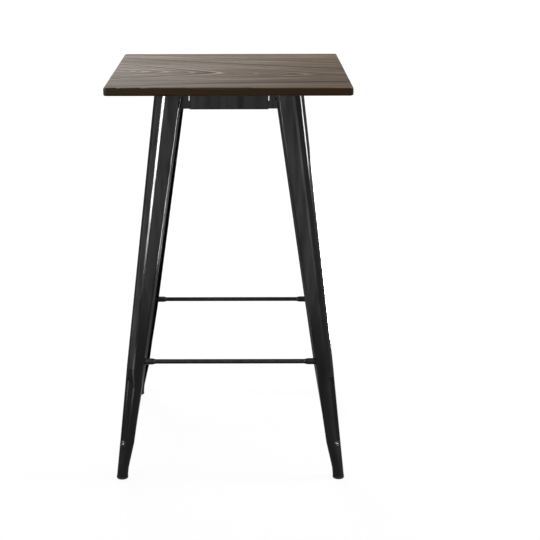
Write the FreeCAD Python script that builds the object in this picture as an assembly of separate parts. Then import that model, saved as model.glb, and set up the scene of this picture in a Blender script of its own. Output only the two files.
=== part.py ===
import FreeCAD, Part
import math
import os

os.makedirs("parts", exist_ok=True)
V = FreeCAD.Vector

# Overall sizes in millimetres. The origin is on the floor under the middle of the top.
HEIGHT = 1040.0
TOP_SIDE = 604.0
TOP_THICK = 20.8
TOP_CORNER_R = 7.0
TOP_EDGE_R = 4.0

# Leg: one folded steel sheet. FACE is the distance of its two outer faces from the table's middle
# planes, WIDTH the width of a face from its outer corner to the bend of the inner lip.
SHEET = 2.0
KNEE_Z = 300.0
SHIN_Z = 250.0
ANKLE_Z = 98.0
FOOT_Z = 28.0
GLIDE_H = 6.0
FACE_TOP = 186.5
FACE_KNEE = 270.0
FACE_FLOOR = 301.6
WIDTH_TOP = 66.3
WIDTH_KNEE = 43.2
WIDTH_SHIN = 44.2
WIDTH_ANKLE = 38.8
CHAMFER_TOP = 26.3
CHAMFER_KNEE = 18.0
CHAMFER_SHIN = 24.0
CHAMFER_ANKLE = 20.0
LIP_ANGLE = -17.5
LIP_LEN = 22.0
LIP_LEN_SHIN = 24.0
LIP_LEN_ANKLE = 27.0
LIP_ANGLE_SHIN = -6.0
LIP_ANGLE_ANKLE = 5.0
LIP_CUT_ANKLE = 20.0
BEND_R = 4.0
BEND_R_ANKLE = 9.0
FOOT_R = 14.5
FOOT_TILT = 22.5
FOOT_SEAM = 0.3
FOOT_FLAT = 0.5

# The outer corner: a slanted side beside each face, with a narrow flat bead on the fold between
# them and one on the ridge where the two slanted sides meet. CUT is how far a bead takes the tip off.
# Below the knee the ridge widens into a flat for the groove.
FOLD_TURN = 27.0
FOLD_CUT_TOP = 0.85
FOLD_CUT_KNEE = 0.5
RIDGE_CUT = 0.74
RIDGE_CUT_SHIN = 4.0
RIDGE_CUT_ANKLE = 3.1
BEAD_R = 5.0
BEAD_R_ANKLE = 9.0

# Pressed groove low on the corner of each leg.
GROOVE_TOP_Z = 276.0
GROOVE_LOW_Z = 92.0
GROOVE_R = 13.0
GROOVE_DEPTH = 6.0

# Apron plates under the top.
APRON_Y = 182.0
APRON_T = 2.0
APRON_LOW_Z = 965.7
APRON_HALF = 99.0
APRON_LAP = 4.0
APRON_SLIT = 1.8
APRON_SLIT_DEPTH = 32.0
APRON_LIP = 20.0
APRON_LIP_HALF = 80.0
APRON_SCREW_X = 55.0
APRON_SCREW_IN = 11.0
TAB_LOW_Z = 967.2
TAB_TOP_Z = 1017.0
EAR_LOW_Z = 972.0
EAR_TOP_Z = 1014.0
EAR_START = 5.0
EAR_END = 20.0

# Stretcher rods with a turned ferrule at each end.
ROD_D = 12.0
ROD_Z = 317.0
ROD_OFFSET = 254.8
FERRULE_D = 16.4
FERRULE_NOSE_D = 12.8
FERRULE_END = 194.5
FERRULE_CONE = 8.0

# Foot glides and the plates that hold each leg to the top.
GLIDE_R = 15.2
GLIDE_EDGE_R = 1.5
PLUG_R = 12.3
PLUG_TOP_Z = 26.0
PLATE_T = 2.0
PLATE_REACH = 56.0
PLATE_CUT = 22.0
PLATE_GAP = 0.3
PLATE_HOLE_FAR = 44.0
PLATE_HOLE_NEAR = 14.0

# Fasteners.
SCREW_D = 4.0
SCREW_HEAD_D = 8.0
SCREW_HEAD_H = 2.4
SCREW_EDGE_R = 1.2
SCREW_DEPTH = 14.0
CROSS_LEN = 4.6
CROSS_W = 1.1
CROSS_DEPTH = 1.4
BOLT_D = 6.0
BOLT_HOLE_D = 6.4
BOLT_HEAD_D = 10.5
BOLT_HEAD_H = 3.3
BOLT_DOME_R = 2.4
BOLT_SOCKET = 4.0
BOLT_SOCKET_DEPTH = 2.0
BOLT_TIP = 1.5
BOLT_ALONG = 13.0
BOLT_Z = 993.0
NUT_AF = 10.0
NUT_H = 5.0
NUT_CHAMFER = 0.7
ROD_SCREW_LEN = 18.0
ROD_SCREW_HEAD_D = 10.0
ROD_SCREW_HEAD_H = 4.0
ROD_SCREW_SOCKET = 5.0
ROD_SCREW_SOCKET_DEPTH = 2.5

# Length of a tool that cuts right through a sheet, and spare length on other tools.
THROUGH = 20.0
SPARE = 15.0

UNDER_TOP = HEIGHT - TOP_THICK
WAYS = (("front_left", 0), ("front_right", 90), ("rear_right", 180), ("rear_left", 270))
SIDES = (("front", 0), ("right", 90), ("rear", 180), ("left", 270))


def mix(a, b, share):
    return a + (b - a) * share


def face_at(z):
    """Distance of a leg's outer faces from the table's middle planes at height z."""
    if z >= KNEE_Z:
        return mix(FACE_KNEE, FACE_TOP, (z - KNEE_Z) / (UNDER_TOP - KNEE_Z))
    return mix(FACE_FLOOR, FACE_KNEE, z / KNEE_Z)


def upper_at(z, knee, top):
    return mix(knee, top, (z - KNEE_Z) / (UNDER_TOP - KNEE_Z))


def station(z):
    """Section of the leg sheet at height z: width, corner, lip length and angle, radii, end cut."""
    if z >= KNEE_Z:
        width = upper_at(z, WIDTH_KNEE, WIDTH_TOP)
        chamfer = upper_at(z, CHAMFER_KNEE, CHAMFER_TOP)
        cuts = (upper_at(z, FOLD_CUT_KNEE, FOLD_CUT_TOP), RIDGE_CUT)
        return width, (chamfer, cuts), LIP_LEN, LIP_ANGLE, (BEND_R, BEAD_R), LIP_ANGLE
    if z >= SHIN_Z:
        share = (z - ANKLE_Z) / (KNEE_Z - ANKLE_Z)
        radii = (mix(BEND_R_ANKLE, BEND_R, share), mix(BEAD_R_ANKLE, BEAD_R, share))
        cuts = (FOLD_CUT_KNEE, RIDGE_CUT_SHIN)
        return WIDTH_SHIN, (CHAMFER_SHIN, cuts), LIP_LEN_SHIN, LIP_ANGLE_SHIN, radii, LIP_ANGLE_SHIN
    if z >= ANKLE_Z:
        cuts = (FOLD_CUT_KNEE, RIDGE_CUT_ANKLE)
        return (WIDTH_ANKLE, (CHAMFER_ANKLE, cuts), LIP_LEN_ANKLE, LIP_ANGLE_ANKLE,
                (BEND_R_ANKLE, BEAD_R_ANKLE), LIP_CUT_ANKLE)
    # The foot is a round tube: every side touches one circle and the lips meet on the diagonal.
    tilt = math.radians(FOOT_TILT)
    support = FOOT_R * (math.cos(tilt) + math.sin(tilt) + 1.0)
    width = support / math.cos(tilt)
    seam = support / (math.cos(tilt) + math.sin(tilt))
    lip = math.hypot(width - seam, seam) - FOOT_SEAM
    n = unit(-90.0 - FOLD_TURN)
    chamfer = FOOT_R * (n[0] + n[1] + 1.0) / n[0]
    n = unit(-90.0 - FOLD_TURN / 2.0)
    fold_cut = chamfer * n[0] - FOOT_R * (n[0] + n[1] + 1.0)
    ridge_cut = FOOT_R * (math.sqrt(2.0) - 1.0) - math.sqrt(2.0) * chamfer * ridge_share()
    return width, (chamfer, (fold_cut, ridge_cut)), lip, FOOT_TILT, (FOOT_R - FOOT_FLAT,) * 2, 45.0


def ridge_share():
    """Distance of the ridge from both faces, as a share of the chamfer."""
    turn = math.tan(math.radians(FOLD_TURN))
    return turn / (1.0 + turn)


def unit(degrees):
    a = math.radians(degrees)
    return (math.cos(a), math.sin(a))


def cross_point(n1, h1, n2, h2):
    det = n1[0] * n2[1] - n1[1] * n2[0]
    return ((h1 * n2[1] - h2 * n1[1]) / det, (n1[0] * h2 - n2[0] * h1) / det)


def sheet_path(z, inset):
    """Edges of one side of the folded sheet at height z, as (kind, points) in the leg's own corner."""
    width, (chamfer, cuts), lip, angle, (bend_r, bead_r), cut = station(z)
    turns = (0.0, FOLD_TURN / 2.0, FOLD_TURN, 45.0, 90.0 - FOLD_TURN, 90.0 - FOLD_TURN / 2.0, 90.0)
    normals = [unit(angle)] + [unit(-90.0 - turn) for turn in turns] + [unit(90.0 - angle)]
    lip_support = width * normals[0][0]
    bead_support = chamfer * normals[2][0] - cuts[0]
    side_support = chamfer * normals[3][0]
    ridge_support = -math.sqrt(2.0) * chamfer * ridge_share() - cuts[1]
    half_way = [lip_support, 0.0, bead_support, side_support]
    supports = [h - inset for h in half_way + [ridge_support] + half_way[::-1]]
    slip = inset / math.cos(math.radians(cut - angle))
    end = (width - lip * normals[0][1] - slip * unit(cut)[0], lip * normals[0][0] - slip * unit(cut)[1])
    corners = [cross_point(normals[i], supports[i], normals[i + 1], supports[i + 1]) for i in range(8)]
    chain = [end] + corners + [(end[1], end[0])]
    radii = [r - inset for r in [bend_r] + [bead_r] * 6 + [bend_r]]
    edges = []
    start = chain[0]
    for i in range(8):
        p = chain[i + 1]
        back = math.atan2(chain[i][1] - p[1], chain[i][0] - p[0])
        ahead = math.atan2(chain[i + 2][1] - p[1], chain[i + 2][0] - p[0])
        half = abs((ahead - back + math.pi) % (2.0 * math.pi) - math.pi) / 2.0
        run = radii[i] / math.tan(half)
        a = (p[0] + run * math.cos(back), p[1] + run * math.sin(back))
        b = (p[0] + run * math.cos(ahead), p[1] + run * math.sin(ahead))
        mx = math.cos(back) + math.cos(ahead)
        my = math.sin(back) + math.sin(ahead)
        reach = (radii[i] / math.sin(half) - radii[i]) / math.hypot(mx, my)
        m = (p[0] + mx * reach, p[1] + my * reach)
        edges.append(("line", (start, a)))
        edges.append(("arc", (a, m, b)))
        start = b
    edges.append(("line", (start, chain[9])))
    return edges


def place(point, z):
    """Corner point of the front left leg in the table's frame."""
    return V(point[0] - face_at(z), point[1] - face_at(z), z)


def edge_of(kind, points, z):
    world = [place(p, z) for p in points]
    if kind == "arc":
        return Part.Arc(world[0], world[1], world[2]).toShape()
    return Part.makeLine(world[0], world[1])


def flipped(path):
    return [(kind, tuple(reversed(points))) for kind, points in reversed(path)]


def sheet_wire(z):
    outside = sheet_path(z, 0.0)
    inside = flipped(sheet_path(z, SHEET))
    cap_a = ("line", (outside[-1][1][-1], inside[0][1][0]))
    cap_b = ("line", (inside[-1][1][-1], outside[0][1][0]))
    loop = outside + [cap_a] + inside + [cap_b]
    return Part.Wire([edge_of(kind, points, z) for kind, points in loop])


def full_wire(z):
    outside = sheet_path(z, 0.0)
    cap = ("line", (outside[-1][1][-1], outside[0][1][0]))
    return Part.Wire([edge_of(kind, points, z) for kind, points in outside + [cap]])


def capsule(start, end, radius):
    axis = end.sub(start)
    body = Part.makeCylinder(radius, axis.Length, start, axis)
    body = body.fuse(Part.makeSphere(radius, start))
    return body.fuse(Part.makeSphere(radius, end)).removeSplitter()


def ridge_depth(z):
    """Distance of the corner's flat ridge from both faces, at a height between ankle and knee."""
    low, high = (SHIN_Z, KNEE_Z) if z > SHIN_Z else (ANKLE_Z, SHIN_Z)
    depths = []
    for level in (low, high):
        chamfer, cuts = station(level)[1]
        depths.append(chamfer * ridge_share() + cuts[1] * math.sqrt(0.5))
    return mix(depths[0], depths[1], (z - low) / (high - low))


def groove_axis():
    """Axis of the pressed groove, held outside the corner so that only its depth is sunk in."""
    half_len = math.sqrt(GROOVE_R ** 2 - (GROOVE_R - GROOVE_DEPTH) ** 2)
    out = (GROOVE_R - GROOVE_DEPTH) * math.sqrt(0.5)
    ends = []
    for z in (GROOVE_TOP_Z - half_len, GROOVE_LOW_Z + half_len):
        at = ridge_depth(z) - out - face_at(z)
        ends.append(V(at, at, z))
    return ends


def lip_point(along, z, off):
    """Point on the lip of the front face: along the lip from its bend, off away from the channel."""
    width = station(z)[0]
    n = unit(LIP_ANGLE)
    return place((width - along * n[1] + off * n[0], along * n[0] + off * n[1]), z)


def lip_normal():
    across = lip_point(10.0, KNEE_Z, 0.0).sub(lip_point(0.0, KNEE_Z, 0.0))
    up = lip_point(0.0, UNDER_TOP, 0.0).sub(lip_point(0.0, KNEE_Z, 0.0))
    return across.cross(up).normalize()


def half_space(point, normal, size=120.0):
    """Block that fills the side of a plane its normal points to."""
    block = Part.makeBox(size, size, size, V(-size / 2.0, -size / 2.0, 0.0))
    turn = FreeCAD.Rotation(V(0, 0, 1), normal)
    block.Placement = FreeCAD.Placement(point, turn)
    return block


def x_cylinder(radius, x0, x1, y, z):
    return Part.makeCylinder(radius, x1 - x0, V(x0, y, z), V(1, 0, 0))


def turned(shape, degrees):
    copy = shape.copy()
    copy.rotate(V(0, 0, 0), V(0, 0, 1), degrees)
    return copy


def mirrored(shape):
    return shape.mirror(V(0, 0, 0), V(1, 0, 0))


def corner_mirror(shape):
    """The same feature on the leg's other face: swap x and y."""
    return shape.mirror(V(0, 0, 0), V(1, -1, 0).normalize())


NORMAL = lip_normal()
SHEET_TRUE = SHEET * NORMAL.dot(V(unit(LIP_ANGLE)[0], unit(LIP_ANGLE)[1], 0))
BOLT_AT = lip_point(BOLT_ALONG, BOLT_Z, 0.0)
ROD_AT = lip_point((face_at(ROD_Z) - ROD_OFFSET) / unit(LIP_ANGLE)[0], ROD_Z, 0.0)


def along_normal(distance):
    return BOLT_AT.add(V(NORMAL).multiply(distance))


def make_leg():
    heights = (UNDER_TOP, KNEE_Z, SHIN_Z, ANKLE_Z, FOOT_Z, GLIDE_H)
    leg = Part.makeLoft([sheet_wire(z) for z in heights], True, True)
    filled = Part.makeLoft([full_wire(z) for z in heights], True, True)
    start, end = groove_axis()
    leg = leg.fuse(capsule(start, end, GROOVE_R + SHEET).common(filled))
    leg = leg.cut(capsule(start, end, GROOVE_R))
    bolt_hole = Part.makeCylinder(BOLT_HOLE_D / 2.0, THROUGH, along_normal(-THROUGH / 2.0), NORMAL)
    reach = THROUGH / 2.0
    rod_hole = x_cylinder(BOLT_HOLE_D / 2.0, ROD_AT.x - reach, ROD_AT.x + reach, ROD_AT.y, ROD_Z)
    for hole in (bolt_hole, rod_hole):
        leg = leg.cut(hole)
        leg = leg.cut(corner_mirror(hole))
    return leg


def tab_end(z, y):
    width = station(z)[0]
    face = face_at(z)
    slope = math.tan(math.radians(-LIP_ANGLE))
    return width - face + (y + face) * slope + APRON_T / 2.0


def apron_end():
    """Left end of the front apron: the set-back tab and the ear that lies on the leg's lip."""
    front = -APRON_Y + APRON_T
    rear = front + APRON_T
    start = -APRON_HALF + APRON_LAP
    rings = []
    for z in (TAB_LOW_Z, TAB_TOP_Z):
        ring = [V(tab_end(z, front), front, z), V(start, front, z)]
        ring += [V(start, rear, z), V(tab_end(z, rear), rear, z)]
        rings.append(Part.makePolygon(ring + [ring[0]]))
    tab = Part.makeLoft(rings, True, True)
    rings = []
    for z in (EAR_LOW_Z, EAR_TOP_Z):
        ring = [lip_point(EAR_START, z, 0.0), lip_point(EAR_START, z, APRON_T)]
        ring += [lip_point(EAR_END, z, APRON_T), lip_point(EAR_END, z, 0.0)]
        rings.append(Part.makePolygon(ring + [ring[0]]))
    ear = Part.makeLoft(rings, True, True)
    hole = Part.makeCylinder(BOLT_HOLE_D / 2.0, THROUGH, along_normal(-THROUGH / 2.0), NORMAL)
    end = tab.fuse(ear.cut(hole))
    slit_x = -APRON_HALF - APRON_SLIT
    slit = Part.makeBox(APRON_SLIT, 2.0 * SPARE, 2.0 * APRON_SLIT_DEPTH,
                        V(slit_x, -APRON_Y - SPARE, UNDER_TOP - APRON_SLIT_DEPTH))
    return end.cut(slit)


def make_apron():
    height = UNDER_TOP - APRON_LOW_Z
    apron = Part.makeBox(2.0 * APRON_HALF, APRON_T, height, V(-APRON_HALF, -APRON_Y, APRON_LOW_Z))
    lip = Part.makeBox(2.0 * APRON_LIP_HALF, APRON_LIP, APRON_T,
                       V(-APRON_LIP_HALF, -APRON_Y + APRON_T, UNDER_TOP - APRON_T))
    apron = apron.fuse(lip)
    end = apron_end()
    apron = apron.fuse(end).fuse(mirrored(end))
    for x, y in apron_screws():
        apron = apron.cut(Part.makeCylinder(SCREW_D / 2.0, THROUGH, V(x, y, UNDER_TOP - THROUGH / 2.0)))
    return apron.removeSplitter()


def apron_screws():
    y = -APRON_Y + APRON_T + APRON_SCREW_IN
    return ((-APRON_SCREW_X, y), (APRON_SCREW_X, y))


def make_plate():
    """Flat plate inside the head of the front left leg, against the underside of the top."""
    near = SHEET + PLATE_GAP
    slope = station(UNDER_TOP)[1][0] + SHEET * math.sqrt(2.0) + PLATE_GAP
    ring = [(near, slope - near), (slope - near, near), (PLATE_REACH, near), (PLATE_REACH, PLATE_CUT)]
    ring += [(PLATE_CUT, PLATE_REACH), (near, PLATE_REACH)]
    points = [place(p, UNDER_TOP) for p in ring]
    plate = Part.Face(Part.makePolygon(points + [points[0]])).extrude(V(0, 0, -PLATE_T))
    for x, y in plate_screws():
        plate = plate.cut(Part.makeCylinder(SCREW_D / 2.0, THROUGH, V(x, y, UNDER_TOP - THROUGH / 2.0)))
    return plate


def plate_screws():
    spots = ((PLATE_HOLE_FAR, PLATE_HOLE_NEAR), (PLATE_HOLE_NEAR, PLATE_HOLE_FAR))
    return [(place(s, UNDER_TOP).x, place(s, UNDER_TOP).y) for s in spots]


def screw_at(x, y):
    seat = UNDER_TOP - PLATE_T
    head = Part.makeCylinder(SCREW_HEAD_D / 2.0, SCREW_HEAD_H, V(x, y, seat - SCREW_HEAD_H))
    rim = [e for e in head.Edges if abs(e.BoundBox.ZMax - (seat - SCREW_HEAD_H)) < 0.01]
    head = head.makeFillet(SCREW_EDGE_R, rim)
    for length, width in ((CROSS_LEN, CROSS_W), (CROSS_W, CROSS_LEN)):
        corner = V(x - length / 2.0, y - width / 2.0, seat - SCREW_HEAD_H)
        head = head.cut(Part.makeBox(length, width, CROSS_DEPTH, corner))
    shank = Part.makeCylinder(SCREW_D / 2.0, PLATE_T + SCREW_DEPTH, V(x, y, seat))
    return head.fuse(shank)


def all_screws():
    quarter = [screw_at(x, y) for x, y in list(apron_screws()) + plate_screws()]
    return Part.makeCompound([turned(s, a) for _, a in WAYS for s in quarter])


def make_top():
    half = TOP_SIDE / 2.0
    top = Part.makeBox(TOP_SIDE, TOP_SIDE, TOP_THICK, V(-half, -half, UNDER_TOP))
    upright = [e for e in top.Edges if e.BoundBox.ZLength > TOP_THICK / 2.0]
    top = top.makeFillet(TOP_CORNER_R, upright)
    rims = [e for e in top.Edges if e.BoundBox.ZLength < 0.01]
    top = top.makeFillet(TOP_EDGE_R, rims)
    for _, angle in WAYS:
        for x, y in list(apron_screws()) + plate_screws():
            hole = Part.makeCylinder(SCREW_D / 2.0, SCREW_DEPTH, V(x, y, UNDER_TOP))
            top = top.cut(turned(hole, angle))
    return top


def hex_bar(start, axis, flats, length):
    """Hexagonal bar from start along an axis that isn't upright."""
    side = V(axis.y, -axis.x, 0).normalize()
    up = axis.cross(side)
    radius = flats / math.sqrt(3.0)
    ring = []
    for i in range(6):
        a = math.radians(60.0 * i)
        out = V(side).multiply(radius * math.cos(a)).add(V(up).multiply(radius * math.sin(a)))
        ring.append(start.add(out))
    return Part.Face(Part.makePolygon(ring + [ring[0]])).extrude(V(axis).multiply(length))


def apron_bolts():
    """Button-head bolts of one corner: both faces of the front left leg."""
    inward = V(NORMAL).multiply(-1.0)
    crown = along_normal(SHEET_TRUE + BOLT_HEAD_H)
    head = Part.makeCylinder(BOLT_HEAD_D / 2.0, BOLT_HEAD_H, crown, inward)
    rim = [e for e in head.Edges if e.Closed and (e.CenterOfMass - crown).Length < 0.1]
    head = head.makeFillet(BOLT_DOME_R, rim)
    tip = SHEET_TRUE + NUT_H + BOLT_TIP
    shank = Part.makeCylinder(BOLT_D / 2.0, tip + SHEET_TRUE, along_normal(-tip), NORMAL)
    bolt = head.fuse(shank).cut(hex_bar(crown, inward, BOLT_SOCKET, BOLT_SOCKET_DEPTH))
    return [bolt, corner_mirror(bolt)]


def apron_nuts():
    """Nuts of one corner, with chamfered corners."""
    inward = V(NORMAL).multiply(-1.0)
    seat = along_normal(-SHEET_TRUE)
    blank = Part.makeCylinder(NUT_AF / math.sqrt(3.0), NUT_H, seat, inward)
    blank = blank.makeChamfer(NUT_CHAMFER, [e for e in blank.Edges if e.Closed])
    nut = hex_bar(seat, inward, NUT_AF, NUT_H).common(blank)
    nut = nut.cut(Part.makeCylinder(BOLT_D / 2.0, THROUGH, along_normal(-THROUGH), NORMAL))
    return [nut, corner_mirror(nut)]


def make_rod():
    """Front stretcher, cut flush with the lips of both front legs, with a threaded hole in each end."""
    reach = -ROD_AT.x + SPARE
    rod = x_cylinder(ROD_D / 2.0, -reach, reach, -ROD_OFFSET, ROD_Z)
    waste = half_space(ROD_AT, V(NORMAL).multiply(-1.0))
    hole = x_cylinder(BOLT_D / 2.0, -reach, ROD_AT.x + ROD_SCREW_LEN, -ROD_OFFSET, ROD_Z)
    for tool in (waste, hole):
        rod = rod.cut(tool).cut(mirrored(tool))
    return rod


def make_ferrule():
    """Left ferrule of the front stretcher: a sleeve with a coned nose."""
    cone_start = -FERRULE_END - FERRULE_CONE
    sleeve = x_cylinder(FERRULE_D / 2.0, ROD_AT.x - SPARE, cone_start, -ROD_OFFSET, ROD_Z)
    nose = Part.makeCone(FERRULE_D / 2.0, FERRULE_NOSE_D / 2.0, FERRULE_CONE,
                         V(cone_start, -ROD_OFFSET, ROD_Z), V(1, 0, 0))
    ferrule = sleeve.fuse(nose)
    ferrule = ferrule.cut(half_space(ROD_AT, V(NORMAL).multiply(-1.0)))
    bore = x_cylinder(ROD_D / 2.0, ROD_AT.x - 2.0 * SPARE, -FERRULE_END + SPARE, -ROD_OFFSET, ROD_Z)
    return ferrule.cut(bore).removeSplitter()


def rod_screws():
    """Screws of one corner, heads inside the channel of the front left leg."""
    seat = ROD_AT.add(V(NORMAL).multiply(-SHEET_TRUE))
    x0 = ROD_AT.x - SHEET - ROD_SCREW_HEAD_H
    head = x_cylinder(ROD_SCREW_HEAD_D / 2.0, x0, ROD_AT.x + SPARE, -ROD_OFFSET, ROD_Z)
    head = head.cut(half_space(seat, NORMAL))
    shank = x_cylinder(BOLT_D / 2.0, x0, ROD_AT.x + ROD_SCREW_LEN, -ROD_OFFSET, ROD_Z)
    socket = hex_bar(V(x0, -ROD_OFFSET, ROD_Z), V(1, 0, 0), ROD_SCREW_SOCKET, ROD_SCREW_SOCKET_DEPTH)
    screw = head.fuse(shank).cut(socket)
    return [screw, corner_mirror(screw)]


def make_glide():
    """Plastic glide of the front left foot: a disc on the floor and a plug up the tube."""
    at = FOOT_R - face_at(GLIDE_H)
    disc = Part.makeCylinder(GLIDE_R, GLIDE_H, V(at, at, 0))
    rim = [e for e in disc.Edges if e.BoundBox.ZMax < 0.01]
    disc = disc.makeFillet(GLIDE_EDGE_R, rim)
    rings = []
    for z in (GLIDE_H, PLUG_TOP_Z):
        c = FOOT_R - face_at(z)
        rings.append(Part.Wire([Part.makeCircle(PLUG_R, V(c, c, z))]))
    plug = Part.makeLoft(rings, True, True)
    return disc.fuse(plug)


def save(shape, name):
    shape.exportStep("parts/%s.step" % name)
    print(name, len(shape.Solids), shape.isValid(), round(shape.Volume))


save(make_top(), "tabletop")
LEG = make_leg()
PLATE = make_plate()
GLIDE = make_glide()
for way, angle in WAYS:
    save(turned(LEG, angle), "leg_" + way)
    save(turned(PLATE, angle), "head_plate_" + way)
    save(turned(GLIDE, angle), "foot_glide_" + way)

APRON = make_apron()
ROD = make_rod()
FERRULE = make_ferrule()
for side, angle in SIDES:
    save(turned(APRON, angle), "apron_" + side)
    save(turned(ROD, angle), "stretcher_" + side)
    save(turned(FERRULE, angle), "ferrule_" + side + "_a")
    save(turned(mirrored(FERRULE), angle), "ferrule_" + side + "_b")

save(all_screws(), "top_screws")
GROUPS = ((apron_bolts(), "apron_bolts"), (apron_nuts(), "apron_nuts"), (rod_screws(), "stretcher_screws"))
for quarter, name in GROUPS:
    save(Part.makeCompound([turned(s, angle) for _, angle in WAYS for s in quarter]), name)
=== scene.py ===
import math

import bpy
from bpy.props import FloatProperty, FloatVectorProperty, PointerProperty
from mathutils import Euler, Matrix, Vector


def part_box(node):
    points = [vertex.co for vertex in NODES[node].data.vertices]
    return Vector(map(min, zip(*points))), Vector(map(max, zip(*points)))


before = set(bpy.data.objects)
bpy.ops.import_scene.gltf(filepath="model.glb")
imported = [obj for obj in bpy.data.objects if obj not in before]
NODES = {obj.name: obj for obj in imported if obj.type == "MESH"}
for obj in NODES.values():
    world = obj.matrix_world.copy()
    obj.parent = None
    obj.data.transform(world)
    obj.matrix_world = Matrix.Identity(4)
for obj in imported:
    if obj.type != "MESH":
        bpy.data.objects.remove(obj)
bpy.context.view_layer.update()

bl_info = {
    "name": "Pub table",
    "version": (1, 0, 0),
    "blender": (4, 5, 0),
    "location": "View3D > Sidebar > Pub table",
    "description": "Finishes a square wood-topped bar table with pressed-steel legs",
    "category": "Object",
}

SIDES = ("front", "right", "rear", "left")
TOP_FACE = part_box("tabletop")[1][2]
TOP_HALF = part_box("tabletop")[1][1]
ORIGIN = (0.0, 0.0, 0.0)
WHITE = (1.0, 1.0, 1.0, 1.0)
UNIT = (0.0, 1.0)
EVEN = (-0.5, 0.5)

# Camera: side of the photograph in pixels, width of the sensor in millimetres, far end in metres.
PHOTO_SIDE = 540.0
SENSOR = 36.0
FAR_CLIP = 200.0

# Room: direction of the pale glow, cosine at its rim, and the share of white that reflections show.
GLOW_AT = (-0.42, 0.90, 0.12)
GLOW_EDGE = 0.88
ROOM_LEFT = 0.1

# Floor, in metres. With the distance from the origin its own white rises to full over FADE_SPAN, and
# the share of it that reflections show falls over POOL_SPAN.
FLOOR_R = 40.0
FLOOR_CORNERS = 96
FLOOR_AT = (0.0, 0.0, -0.0005)
FLOOR_GREY = 0.10
FADE_SPAN = (0.8, 2.5)
POOL_SPAN = (0.25, 0.5)
POOL_SHARES = (0.2, 0.06)

# Light panels: name, place, point it faces, size, watts, and what it shows in: everything, gloss
# alone, or everything but gloss.
PANELS = (
    ("left_strip", (-1.80, -2.76, 1.12), (-0.2, -0.2, 1.12), (0.3, 1.0), 62.0, "GLOSS"),
    ("right_box", (3.2, -0.1, 1.35), (0.2, -0.2, 1.35), (0.7, 1.0), 60.0, "ALL"),
    ("rear_card", (0.75, 0.60, 0.40), (-0.22, -0.25, 0.70), (0.25, 0.6), 20.0, "GLOSS"),
    ("front_wall", (0.6, -4.7, 1.1), (0.0, 0.0, 0.9), (4.2, 2.4), 24.0, "ALL"),
    ("front_fill", (1.6, -3.4, 1.2), (0.2, -0.2, 0.8), (1.2, 1.6), 6.0, "ALL"),
    ("left_wall", (-2.5, -0.8, 0.75), (-0.1, -0.5, 0.75), (3.0, 1.5), 12.0, "ALL"),
    ("low_card", (-0.95, -1.50, 0.10), (-0.25, -0.28, 0.15), (0.5, 0.2), 1.0, "GLOSS"),
    ("high_left", (-1.50, -0.60, 2.0), (-0.25, -0.28, 0.1), (0.9, 0.6), 60.0, "GLOSS"),
    ("high_right", (1.50, -0.60, 2.0), (0.25, -0.28, 0.1), (0.9, 0.6), 60.0, "GLOSS"),
    ("rear_top", (-0.4, 1.3, 1.95), (0.0, 0.1, 1.04), (1.2, 0.5), 19.0, "MATTE"),
)

# Log that the top is sawn from, in metres: where its heart line crosses the face and how it is
# turned, how deep it lies and dips along the board, and how its rings open out to both sides.
HEART_AT = 0.065
HEART_TILT = 0.12
HEART_DEPTH = 0.15
HEART_DIP = 0.12
HEART_CURVE = 0.12
HEART_SPREAD = 0.22
HEART_TIP = 0.010
HEART_FLAT = 3.5

# Noise fields: frequency per metre along x, y and z, detail, roughness, and offset.
SWAY = ((3.0, 5.0, 5.0), 2.0, 0.5, ORIGIN)
RIPPLE = ((8.0, 40.0, 40.0), 3.0, 0.5, ORIGIN)
CLOUDS = ((1.3, 20.0, 20.0), 3.0, 0.55, (0.4, 0.1, 0.0))
STREAKS = ((2.2, 70.0, 70.0), 4.0, 0.6, (0.3, 0.1, 0.0))
FIBRES = ((14.0, 800.0, 800.0), 3.0, 0.6, ORIGIN)
PORES = ((45.0, 1500.0, 1500.0), 2.0, 0.5, (0.2, 0.0, 0.0))
COAT_CLOUDS = ((9.0, 9.0, 5.0), 4.0, 0.6, ORIGIN)
COAT_FLOW = ((75.0, 75.0, 2.5), 3.0, 0.6, ORIGIN)
COAT_PEEL = ((420.0, 420.0, 420.0), 2.0, 0.5, ORIGIN)
GLIDE_GRAIN = ((300.0, 300.0, 300.0), 3.0, 0.6, ORIGIN)
ZINC_SPANGLE = ((500.0, 500.0, 500.0), 3.0, 0.6, ORIGIN)
OXIDE_BLOOM = ((350.0, 350.0, 350.0), 3.0, 0.6, ORIGIN)

# Growth rings: how far sway and ripple move them in metres, noise from ring to ring as frequency and
# detail, the end of the early wood in each ring, and how strong the rings come out.
SWAY_REACH = 0.022
RIPPLE_REACH = 0.003
JITTER = (0.7, 1.0)
JITTER_REACH = 1.6
RING_ROUGH = 0.6
EARLY_END = 0.30
VIGOUR = (0.55, 1.0)
VIGOUR_SPAN = (0.35, 0.60)
VIGOUR_RANGE = (0.25, 1.0)
MINOR = (3.0, 2.0)
MINOR_SPAN = (0.3, 0.7)

# Tone of the wood: share of each part, the span that becomes dark to pale, and the span of noise
# that becomes a pale line and a pore, and the span of steepness that gets the darker edge tint.
TONE_SHARES = {"rings": 0.50, "minor": 0.30, "clouds": 0.40, "streaks": 0.40, "fibres": 0.20,
               "lines": 0.25, "paler_to_rear": 0.10}
TONE_SPAN = (0.14, 0.92)
LINE_SPAN = (0.55, 0.70)
PORE_SPAN = (0.60, 0.70)
PORE_DARK = 0.55
RIM_SPAN = (0.45, 0.98)
RIM_EVEN = 0.6
LACQUER_SPREAD = (0.08, -0.06)
LACQUER_SPECULAR = 0.1
FIBRE_HEIGHT = 0.5
GRAIN_BUMP = {"Strength": 0.12, "Distance": 0.0005}

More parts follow.
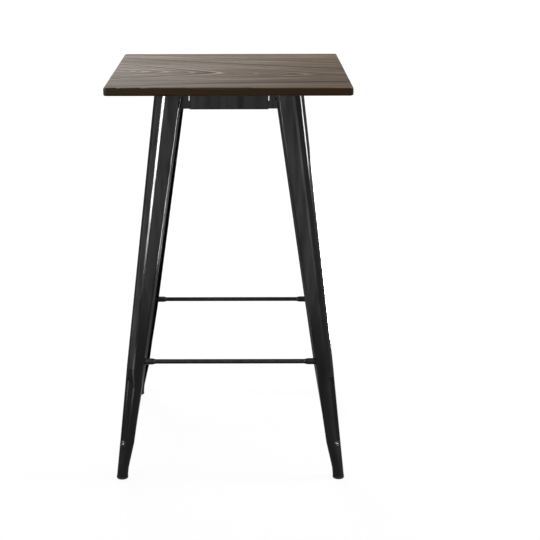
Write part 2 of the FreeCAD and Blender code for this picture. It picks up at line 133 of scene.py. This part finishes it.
# Black coat: COAT_ROUND is the radius in metres that the coat gives to a sharp fold.
COAT_ROUND = 0.0015
COAT_ROUND_SAMPLES = 4
COAT_DARK = 0.8
COAT_SPAN = (0.3, 0.75)
COAT_SPREAD = (-0.03, 0.06)
FLOW_SPAN = (0.3, 0.7)
FLOW_SPECULAR = (0.25, 0.70)
PEEL_BUMP = {"Strength": 0.03, "Distance": 0.0003}
COAT_IOR = 1.4

# Glides and fasteners: span of the speckle, factors on its two colours, and range of roughness.
GLIDE_SPECKLE = ((0.3, 0.8), (1.0, 2.0), (0.42, 0.6))
ZINC_SPECKLE = ((0.3, 0.7), (0.7, 1.0), (0.28, 0.45))
OXIDE_SPECKLE = ((0.3, 0.8), (1.0, 1.6), (0.6, 0.8))
OXIDE_SPECULAR = 0.15

# Sockets of the Mix node for colours.
MIX_SHARE, MIX_A, MIX_B, MIX_RESULT = 0, 6, 7, 2


class WoodFinish(bpy.types.PropertyGroup):
    """Stain and grain of the top."""

    dark: FloatVectorProperty(
        name="Dark grain", description="Stained colour of the late wood",
        subtype="COLOR", size=4, min=0.0, max=1.0, default=(0.040, 0.024, 0.012, 1.0))
    brown: FloatVectorProperty(
        name="Brown wood", description="Stained colour of most of the board",
        subtype="COLOR", size=4, min=0.0, max=1.0, default=(0.118, 0.079, 0.050, 1.0))
    pale: FloatVectorProperty(
        name="Pale grain", description="Colour of the pale streaks",
        subtype="COLOR", size=4, min=0.0, max=1.0, default=(0.320, 0.245, 0.180, 1.0))
    ring: FloatProperty(
        name="Ring spacing", description="Distance between the growth rings",
        subtype="DISTANCE", unit="LENGTH", min=0.0005, default=0.0105)
    # Tint that makes the upright edges of the top darker and warmer.
    edge: FloatVectorProperty(
        name="Edge tint", description="Tint that darkens and warms the upright edges of the top",
        subtype="COLOR", size=4, min=0.0, max=1.0, default=(0.44, 0.31, 0.15, 1.0))
    lacquer: FloatProperty(
        name="Lacquer roughness", description="Roughness of the satin lacquer",
        subtype="FACTOR", min=0.0, max=1.0, default=0.36)


class SteelFinish(bpy.types.PropertyGroup):
    """Powder coat of the steel, plating of its fasteners and plastic of its glides."""

    coat: FloatVectorProperty(
        name="Powder coat", description="Colour of the black coat",
        subtype="COLOR", size=4, min=0.0, max=1.0, default=(0.024, 0.0242, 0.0258, 1.0))
    gloss: FloatProperty(
        name="Coat roughness", description="Roughness of the black coat",
        subtype="FACTOR", min=0.0, max=1.0, default=0.13)
    zinc: FloatVectorProperty(
        name="Zinc", description="Colour of the plated fasteners",
        subtype="COLOR", size=4, min=0.0, max=1.0, default=(0.5, 0.5, 0.5, 1.0))
    nylon: FloatVectorProperty(
        name="Glide plastic", description="Colour of the foot glides and the black fasteners",
        subtype="COLOR", size=4, min=0.0, max=1.0, default=(0.018, 0.018, 0.019, 1.0))


class StudioSetup(bpy.types.PropertyGroup):
    """Camera and light."""

    camera_at: FloatVectorProperty(
        name="Camera place", description="Where the camera stands",
        subtype="TRANSLATION", unit="LENGTH", size=3, default=(0.0363, -3.3659, 1.5331))
    camera_pitch: FloatProperty(
        name="Camera pitch", description="How far the camera looks down",
        unit="ROTATION", default=math.radians(17.265))
    camera_roll: FloatProperty(
        name="Camera roll", description="How far the camera is turned about its own axis",
        unit="ROTATION", default=math.radians(-0.10))
    focal_px: FloatProperty(
        name="Focal length in pixels", description="Focal length in the photograph's pixels",
        default=1278.1)
    shift_px: FloatProperty(
        name="Side shift in pixels", description="How far the frame is moved off the lens axis",
        default=26.25)
    horizon: FloatProperty(
        name="Low room light", description="Strength of the room's light along the horizon",
        min=0.0, default=0.06)
    overhead: FloatProperty(
        name="Overhead light", description="Strength of the room's light straight overhead",
        min=0.0, default=1.2)
    glow: FloatProperty(
        name="Rear glow", description="Strength of the pale glow low down behind the table",
        min=0.0, default=2.4)


def new_material(name):
    """Empty node material with a Principled shader; returns material, tree and shader."""
    material = bpy.data.materials.new(name)
    material.use_nodes = True
    tree = material.node_tree
    shader = tree.nodes["Principled BSDF"]
    return material, tree, shader


def add(tree, kind, inputs=None, **settings):
    """One node; inputs holds plain values or sockets to link from."""
    node = tree.nodes.new(kind)
    for key, value in settings.items():
        setattr(node, key, value)
    for key, value in (inputs or {}).items():
        if isinstance(value, bpy.types.NodeSocket):
            tree.links.new(value, node.inputs[key])
        else:
            node.inputs[key].default_value = value
    return node


def ramp(tree, source, stops):
    """Colour ramp through (place, colour) stops."""
    node = add(tree, "ShaderNodeValToRGB", {"Fac": source})
    elements = node.color_ramp.elements
    for place, _ in stops[1:-1]:
        elements.new(place)
    for element, (place, colour) in zip(elements, stops):
        element.position = place
        element.color = colour
    return node.outputs["Color"]


def blend_colour(tree, share, a, b, mode="MIX"):
    inputs = {MIX_SHARE: share, MIX_A: a, MIX_B: b}
    node = add(tree, "ShaderNodeMix", inputs, data_type="RGBA", blend_type=mode)
    return node.outputs[MIX_RESULT]


def math_node(tree, operation, a, b=0.0):
    return add(tree, "ShaderNodeMath", {0: a, 1: b}, operation=operation).outputs[0]


def map_range(tree, source, span, to=UNIT):
    """The span of a source, mapped to another span and clamped."""
    inputs = {"Value": source, "From Min": span[0], "From Max": span[1],
              "To Min": to[0], "To Max": to[1]}
    return add(tree, "ShaderNodeMapRange", inputs).outputs["Result"]


def field(tree, per_metre, detail, rough, offset):
    """Noise in object space, with its own frequency along each axis."""
    coords = add(tree, "ShaderNodeTexCoord").outputs["Object"]
    mapping = add(tree, "ShaderNodeMapping", {"Vector": coords, "Location": offset, "Scale": per_metre})
    inputs = {"Vector": mapping.outputs["Vector"], "Scale": 1.0, "Detail": detail, "Roughness": rough}
    return add(tree, "ShaderNodeTexNoise", inputs).outputs["Fac"]


def ring_noise(tree, count, frequency, detail):
    """Noise from ring to ring."""
    inputs = {"W": count, "Scale": frequency, "Detail": detail, "Roughness": RING_ROUGH}
    return add(tree, "ShaderNodeTexNoise", inputs, noise_dimensions="1D").outputs["Fac"]


def swing(tree, source, reach):
    """Noise turned into a move to both sides."""
    return math_node(tree, "MULTIPLY", math_node(tree, "SUBTRACT", source, 0.5), reach)


def ring_count(tree, spacing):
    """Number of rings from the heart of a log that lies under the face and dips to one side, and
    the place across the board."""
    coords = add(tree, "ShaderNodeTexCoord").outputs["Object"]
    place = add(tree, "ShaderNodeSeparateXYZ", {"Vector": coords})
    along, across, up = place.outputs["X"], place.outputs["Y"], place.outputs["Z"]
    sway = swing(tree, field(tree, *SWAY), SWAY_REACH)
    ripple = swing(tree, field(tree, *RIPPLE), RIPPLE_REACH)
    heart = math_node(tree, "ADD", math_node(tree, "MULTIPLY", along, HEART_TILT), HEART_AT)
    side = math_node(tree, "ADD", math_node(tree, "ADD", across, heart), sway)
    slope = math_node(tree, "SUBTRACT", HEART_DIP, math_node(tree, "MULTIPLY", along, HEART_CURVE))
    dip = math_node(tree, "ADD", math_node(tree, "MULTIPLY", along, slope), HEART_DEPTH)
    depth = math_node(tree, "ADD", dip, math_node(tree, "SUBTRACT", up, TOP_FACE))
    square = math_node(tree, "MULTIPLY", side, side)
    spread = math_node(tree, "SQRT", math_node(tree, "ADD", square, HEART_TIP ** 2))
    spread = math_node(tree, "ADD", spread, math_node(tree, "MULTIPLY", square, HEART_FLAT))
    radius = math_node(tree, "ADD", depth, math_node(tree, "MULTIPLY", spread, HEART_SPREAD))
    return math_node(tree, "DIVIDE", math_node(tree, "ADD", radius, ripple), spacing), across


def growth_rings(tree, count):
    """Pale early wood less dark late wood, with rings of uneven width and strength."""
    uneven = math_node(tree, "MULTIPLY", ring_noise(tree, count, *JITTER), JITTER_REACH)
    phase = math_node(tree, "FRACT", math_node(tree, "ADD", count, uneven))
    late = map_range(tree, phase, (EARLY_END, 1.0))
    late = math_node(tree, "MULTIPLY", late, late)
    early = map_range(tree, phase, (0.0, EARLY_END), (1.0, 0.0))
    vigour = map_range(tree, ring_noise(tree, count, *VIGOUR), VIGOUR_SPAN, VIGOUR_RANGE)
    return math_node(tree, "MULTIPLY", math_node(tree, "SUBTRACT", early, late), vigour)


def stained_wood(finish):
    """Plain-sawn board with rings, streaks, fibres and pores, darker and warmer on its upright edges."""
    material, tree, shader = new_material("stained_wood")
    count, across = ring_count(tree, finish.ring)
    streaks = field(tree, *STREAKS)
    fibres = field(tree, *FIBRES)
    parts = {
        "rings": growth_rings(tree, count),
        "minor": map_range(tree, ring_noise(tree, count, *MINOR), MINOR_SPAN, EVEN),
        "clouds": field(tree, *CLOUDS),
        "streaks": streaks,
        "fibres": fibres,
        "lines": map_range(tree, streaks, LINE_SPAN),
        # Tone that rises from the front of the board to the rear, so the rear is paler.
        "paler_to_rear": map_range(tree, across, (-TOP_HALF, TOP_HALF), EVEN),
    }
    tone = 0.0
    for name, share in TONE_SHARES.items():
        tone = math_node(tree, "ADD", tone, math_node(tree, "MULTIPLY", parts[name], share))
    stops = ((0.0, finish.dark), (0.5, finish.brown), (1.0, finish.pale))
    base = ramp(tree, map_range(tree, tone, TONE_SPAN), stops)
    holes = map_range(tree, field(tree, *PORES), PORE_SPAN)
    base = blend_colour(tree, math_node(tree, "MULTIPLY", holes, PORE_DARK), base, finish.dark)
    normal = add(tree, "ShaderNodeNewGeometry").outputs["Normal"]
    upright = add(tree, "ShaderNodeSeparateXYZ", {"Vector": normal}).outputs["Z"]
    # Upright faces get evened-out grain multiplied by the edge tint, which makes them darker and warmer.
    rim = map_range(tree, math_node(tree, "ABSOLUTE", upright), RIM_SPAN, (1.0, 0.0))
    calm = blend_colour(tree, RIM_EVEN, base, finish.brown)
    darkened_upright = blend_colour(tree, 1.0, calm, finish.edge, "MULTIPLY")
    tree.links.new(blend_colour(tree, rim, base, darkened_upright), shader.inputs["Base Color"])
    lacquer = [finish.lacquer + more for more in LACQUER_SPREAD]
    tree.links.new(map_range(tree, tone, TONE_SPAN, lacquer), shader.inputs["Roughness"])
    shader.inputs["Specular IOR Level"].default_value = LACQUER_SPECULAR
    height = math_node(tree, "SUBTRACT", math_node(tree, "MULTIPLY", fibres, FIBRE_HEIGHT), holes)
    bump = add(tree, "ShaderNodeBump", {"Height": height, **GRAIN_BUMP})
    tree.links.new(bump.outputs["Normal"], shader.inputs["Normal"])
    return material


def tinted(colour, factor):
    return tuple(factor * channel for channel in colour[:3]) + (1.0,)


def black_coat(finish):
    """Glossy powder coat with orange peel and uneven gloss, rounded at sharp folds."""
    material, tree, shader = new_material("black_coat")
    clouds = field(tree, *COAT_CLOUDS)
    base = ramp(tree, clouds, tuple(zip(COAT_SPAN, (tinted(finish.coat, COAT_DARK), finish.coat))))
    tree.links.new(base, shader.inputs["Base Color"])
    gloss = [finish.gloss + more for more in COAT_SPREAD]
    tree.links.new(map_range(tree, clouds, COAT_SPAN, gloss), shader.inputs["Roughness"])
    flow = map_range(tree, field(tree, *COAT_FLOW), FLOW_SPAN, FLOW_SPECULAR)
    tree.links.new(flow, shader.inputs["Specular IOR Level"])
    fold = add(tree, "ShaderNodeBevel", {"Radius": COAT_ROUND}, samples=COAT_ROUND_SAMPLES)
    bump = add(tree, "ShaderNodeBump", {"Height": field(tree, *COAT_PEEL),
                                        "Normal": fold.outputs["Normal"], **PEEL_BUMP})
    tree.links.new(bump.outputs["Normal"], shader.inputs["Normal"])
    shader.inputs["IOR"].default_value = COAT_IOR
    return material


def speckled(name, colour, noise, speckle):
    """Material whose colour and roughness vary finely; returns material and shader."""
    span, factors, rough = speckle
    material, tree, shader = new_material(name)
    source = field(tree, *noise)
    base = ramp(tree, source, [(place, tinted(colour, factor)) for place, factor in zip(span, factors)])
    tree.links.new(base, shader.inputs["Base Color"])
    tree.links.new(map_range(tree, source, span, rough), shader.inputs["Roughness"])
    return material, shader


def glide_plastic(finish):
    return speckled("glide_plastic", finish.nylon, GLIDE_GRAIN, GLIDE_SPECKLE)[0]


def zinc_plate(finish):
    material, shader = speckled("zinc_plate", finish.zinc, ZINC_SPANGLE, ZINC_SPECKLE)
    shader.inputs["Metallic"].default_value = 1.0
    return material


def black_oxide(finish):
    material, shader = speckled("black_oxide", finish.nylon, OXIDE_BLOOM, OXIDE_SPECKLE)
    shader.inputs["Specular IOR Level"].default_value = OXIDE_SPECULAR
    return material


def paint(prefixes, material):
    """Puts a finish on every CAD node whose name starts with one of the prefixes."""
    for name, node in NODES.items():
        if name.startswith(prefixes):
            node.data.materials.clear()
            node.data.materials.append(material)


class PUB_OT_tabletop(bpy.types.Operator):
    """Stained wood on the top"""

    bl_idname = "pub_table.tabletop"
    bl_label = "Top"

    def execute(self, context):
        paint(("tabletop",), stained_wood(context.scene.pub_wood))
        return {"FINISHED"}


class PUB_OT_steelwork(bpy.types.Operator):
    """Black coat on legs, aprons, rods, ferrules and head plates"""

    bl_idname = "pub_table.steelwork"
    bl_label = "Steelwork"

    def execute(self, context):
        bars = tuple(kind + side for kind in ("apron_", "stretcher_") for side in SIDES)
        paint(("leg_", "ferrule_", "head_plate_") + bars, black_coat(context.scene.pub_steel))
        return {"FINISHED"}


class PUB_OT_glides(bpy.types.Operator):
    """Black plastic on the foot glides"""

    bl_idname = "pub_table.glides"
    bl_label = "Foot glides"

    def execute(self, context):
        paint(("foot_glide_",), glide_plastic(context.scene.pub_steel))
        return {"FINISHED"}


class PUB_OT_fasteners(bpy.types.Operator):
    """Zinc plate on the hidden screws of the top, black oxide on the other fasteners"""

    bl_idname = "pub_table.fasteners"
    bl_label = "Fasteners"

    def execute(self, context):
        paint(("top_screws",), zinc_plate(context.scene.pub_steel))
        paint(("apron_bolts", "apron_nuts", "stretcher_screws"), black_oxide(context.scene.pub_steel))
        return {"FINISHED"}


def seen_directly(tree, path):
    """1 for rays from the camera and rays that went through something clear."""
    return math_node(tree, "MAXIMUM", path.outputs["Is Camera Ray"], path.outputs["Is Transmission Ray"])


def studio_world(scene, setup):
    """Room that is white to the camera, and lights the table dimly along the horizon, brightly from
    overhead, and with a pale glow low down behind on the left."""
    world = bpy.data.worlds.new("studio")
    world.use_nodes = True
    tree = world.node_tree
    background = tree.nodes["Background"]
    background.inputs["Color"].default_value = WHITE
    look = add(tree, "ShaderNodeTexCoord").outputs["Generated"]
    way = add(tree, "ShaderNodeSeparateXYZ", {"Vector": look})
    height = math_node(tree, "MULTIPLY", way.outputs["Z"], way.outputs["Z"])
    strength = map_range(tree, height, UNIT, (setup.horizon, setup.overhead))
    near = add(tree, "ShaderNodeVectorMath", {0: look, 1: Vector(GLOW_AT).normalized()},
               operation="DOT_PRODUCT")
    glow = map_range(tree, near.outputs["Value"], (GLOW_EDGE, 1.0), (0.0, setup.glow))
    light = math_node(tree, "ADD", strength, glow)
    path = add(tree, "ShaderNodeLightPath")
    shine = math_node(tree, "MULTIPLY", path.outputs["Is Glossy Ray"], ROOM_LEFT)
    seen = math_node(tree, "MAXIMUM", seen_directly(tree, path), shine)
    kept = math_node(tree, "MULTIPLY", light, math_node(tree, "SUBTRACT", 1.0, seen))
    tree.links.new(math_node(tree, "ADD", kept, seen), background.inputs["Strength"])
    scene.world = world


def pale_floor():
    """Floor that is white to the camera apart from the table's shadow, and clear from below."""
    bpy.ops.mesh.primitive_circle_add(vertices=FLOOR_CORNERS, radius=FLOOR_R, fill_type="NGON",
                                      location=FLOOR_AT)
    floor = bpy.context.object
    floor.name = "floor"
    material, tree, shader = new_material("pale_floor")
    shader.inputs["Base Color"].default_value = (FLOOR_GREY, FLOOR_GREY, FLOOR_GREY, 1.0)
    shader.inputs["Roughness"].default_value = 1.0
    shader.inputs["Specular IOR Level"].default_value = 0.0
    path = add(tree, "ShaderNodeLightPath")
    spot = add(tree, "ShaderNodeNewGeometry")
    away = add(tree, "ShaderNodeVectorMath", {0: spot.outputs["Position"]}, operation="LENGTH")
    away = away.outputs["Value"]
    pool = map_range(tree, away, POOL_SPAN, POOL_SHARES)
    shine = math_node(tree, "MULTIPLY", path.outputs["Is Glossy Ray"], pool)
    seen = math_node(tree, "MAXIMUM", seen_directly(tree, path), shine)
    shader.inputs["Emission Color"].default_value = WHITE
    white = map_range(tree, away, FADE_SPAN, (1.0 - FLOOR_GREY, 1.0))
    tree.links.new(math_node(tree, "MULTIPLY", seen, white), shader.inputs["Emission Strength"])
    above = math_node(tree, "SUBTRACT", 1.0, spot.outputs["Backfacing"])
    tree.links.new(above, shader.inputs["Alpha"])
    floor.data.materials.append(material)


def area_light(name, place, target, size, watts, shows_in):
    """Soft panel that the camera doesn't see."""
    lamp = bpy.data.lights.new(name, "AREA")
    lamp.energy = watts
    lamp.shape = "RECTANGLE"
    lamp.size, lamp.size_y = size
    holder = bpy.data.objects.new(name, lamp)
    holder.location = place
    holder.rotation_euler = (Vector(target) - Vector(place)).to_track_quat("-Z", "Y").to_euler()
    holder.visible_camera = False
    holder.visible_diffuse = shows_in != "GLOSS"
    holder.visible_glossy = shows_in != "MATTE"
    bpy.context.collection.objects.link(holder)


def studio_camera(scene, setup):
    """Camera of the photograph."""
    lens = bpy.data.cameras.new("photo_camera")
    lens.sensor_width = SENSOR
    lens.lens = setup.focal_px / PHOTO_SIDE * SENSOR
    lens.shift_x = setup.shift_px / PHOTO_SIDE
    lens.clip_end = FAR_CLIP
    camera = bpy.data.objects.new("photo_camera", lens)
    camera.location = setup.camera_at
    level = Euler((math.radians(90.0) - setup.camera_pitch, 0.0, 0.0)).to_matrix()
    camera.rotation_euler = (level @ Matrix.Rotation(setup.camera_roll, 3, "Z")).to_euler()
    bpy.context.collection.objects.link(camera)
    scene.camera = camera


class PUB_OT_studio(bpy.types.Operator):
    """Pale floor, soft light and the camera of the photograph"""

    bl_idname = "pub_table.studio"
    bl_label = "Studio"

    def execute(self, context):
        setup = context.scene.pub_studio
        context.scene.view_settings.view_transform = "Standard"
        studio_world(context.scene, setup)
        pale_floor()
        for panel in PANELS:
            area_light(*panel)
        studio_camera(context.scene, setup)
        return {"FINISHED"}


class PUB_PT_panel(bpy.types.Panel):
    """Steps of the pub table"""

    bl_idname = "PUB_PT_panel"
    bl_label = "Pub table"
    bl_space_type = "VIEW_3D"
    bl_region_type = "UI"
    bl_category = "Pub table"

    def draw(self, context):
        for step in STEPS:
            self.layout.operator(step.bl_idname)


STEPS = (PUB_OT_tabletop, PUB_OT_steelwork, PUB_OT_glides, PUB_OT_fasteners, PUB_OT_studio)
GROUPS = (("pub_wood", WoodFinish), ("pub_steel", SteelFinish), ("pub_studio", StudioSetup))


def register():
    for name, group in GROUPS:
        bpy.utils.register_class(group)
        setattr(bpy.types.Scene, name, PointerProperty(type=group))
    for step in STEPS:
        bpy.utils.register_class(step)
    bpy.utils.register_class(PUB_PT_panel)


def unregister():
    bpy.utils.unregister_class(PUB_PT_panel)
    for step in reversed(STEPS):
        bpy.utils.unregister_class(step)
    for name, group in reversed(GROUPS):
        delattr(bpy.types.Scene, name)
        bpy.utils.unregister_class(group)


def main():
    register()
    bpy.ops.pub_table.tabletop()
    bpy.ops.pub_table.steelwork()
    bpy.ops.pub_table.glides()
    bpy.ops.pub_table.fasteners()
    bpy.ops.pub_table.studio()


if __name__ == "__main__":
    main()
